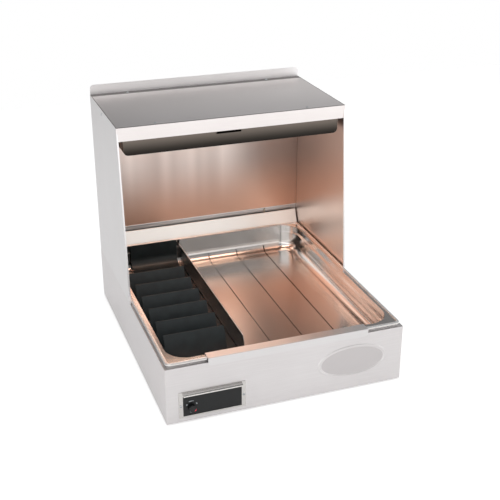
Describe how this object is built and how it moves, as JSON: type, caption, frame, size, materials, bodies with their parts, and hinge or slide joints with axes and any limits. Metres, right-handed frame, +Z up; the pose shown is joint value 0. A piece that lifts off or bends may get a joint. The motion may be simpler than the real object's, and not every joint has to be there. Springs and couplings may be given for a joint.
{
  "type": "countertop chip warmer",
  "caption": "Countertop chip warmer: heated base with lift-out pan, bag rack and ramp, and an open-fronted hood with an overhead heater.",
  "frame": {"origin": "middle of the footprint on the counter, at the underside of the feet", "axes": "+X to the right seen from the front, +Y to the back, +Z up"},
  "size_m": [0.5528, 0.661, 0.5756],
  "materials": {
    "stainless": "brushed, satin",
    "polished_steel": "polished",
    "black_coating": "satin, non-stick coating",
    "facia_black": "gloss",
    "knob_black": "matte",
    "lens_red": "translucent gloss",
    "rubber_black": "matte",
    "plastic_dark": "matte",
    "plastic_cream": "matte",
    "zinc": "plated",
    "galvanised": "galvanised",
    "silicone": "matte",
    "insulation": "fibrous",
    "ceramic": "glazed",
    "element_sheath": "oxidised",
    "reflector_aluminium": "bright",
    "cable_sleeve": "matte"
  },
  "bodies": {
    "cabinet": {"base_bottom_plate": "galvanised", "base_rear_panel": "stainless", "base_shell": "stainless", "bezel_screws": "zinc", "blanket_leads": "cable_sleeve", "control_bezel": "stainless", "control_bracket": "galvanised", "control_leads": "cable_sleeve", "control_plate": "facia_black", "cord_gland": "plastic_dark", "element_bracket": "galvanised", "element_insulators": "ceramic", "element_supports": "zinc", "gland_nut": "plastic_dark", "heat_control": "plastic_cream", "heater_element": "element_sheath", "heater_housing": "stainless", "heater_leads": "cable_sleeve", "heating_blanket": "silicone", "hood_back_panel": "polished_steel", "hood_rear_panel": "stainless", "hood_side_left": "stainless", "hood_side_right": "stainless", "hood_top": "stainless", "housing_hangers": "galvanised", "indicator_lamp": "plastic_cream", "indicator_lens": "lens_red", "insulation_slab": "insulation", "insulation_tray": "galvanised", "rear_baffle": "polished_steel", "rear_rail": "stainless", "rear_screws": "zinc", "reflector": "reflector_aluminium", "rubber_feet": "rubber_black", "side_screws": "zinc", "terminal_block": "plastic_cream", "top_screws": "zinc", "well_liner": "stainless", "wire_guard": "zinc"},
    "knob": {"control_knob": "knob_black", "control_spindle": "zinc"},
    "pan": {"food_pan": "polished_steel", "pan_grip_lip": "stainless"},
    "bay_insert": {"divider": "stainless", "fry_ramp": "stainless"},
    "rack": {"rack_tray": "black_coating", "rack_plates": "black_coating"}
  },
  "joints": [
    {"name": "knob_turn", "type": "hinge", "parent": "cabinet", "child": "knob", "pos_m": [-0.2193, -0.321, 0.0367], "axis": [0, 1, 0], "range_deg": [0, 270]},
    {"name": "pan_lift", "type": "slide", "parent": "cabinet", "child": "pan", "axis": [0, 0, 1], "range_m": [0, 0.12]},
    {"name": "insert_lift", "type": "slide", "parent": "pan", "child": "bay_insert", "axis": [0, 0, 1], "range_m": [0, 0.09]},
    {"name": "rack_lift", "type": "slide", "parent": "pan", "child": "rack", "axis": [0, 0, 1], "range_m": [0, 0.09]}
  ]
}
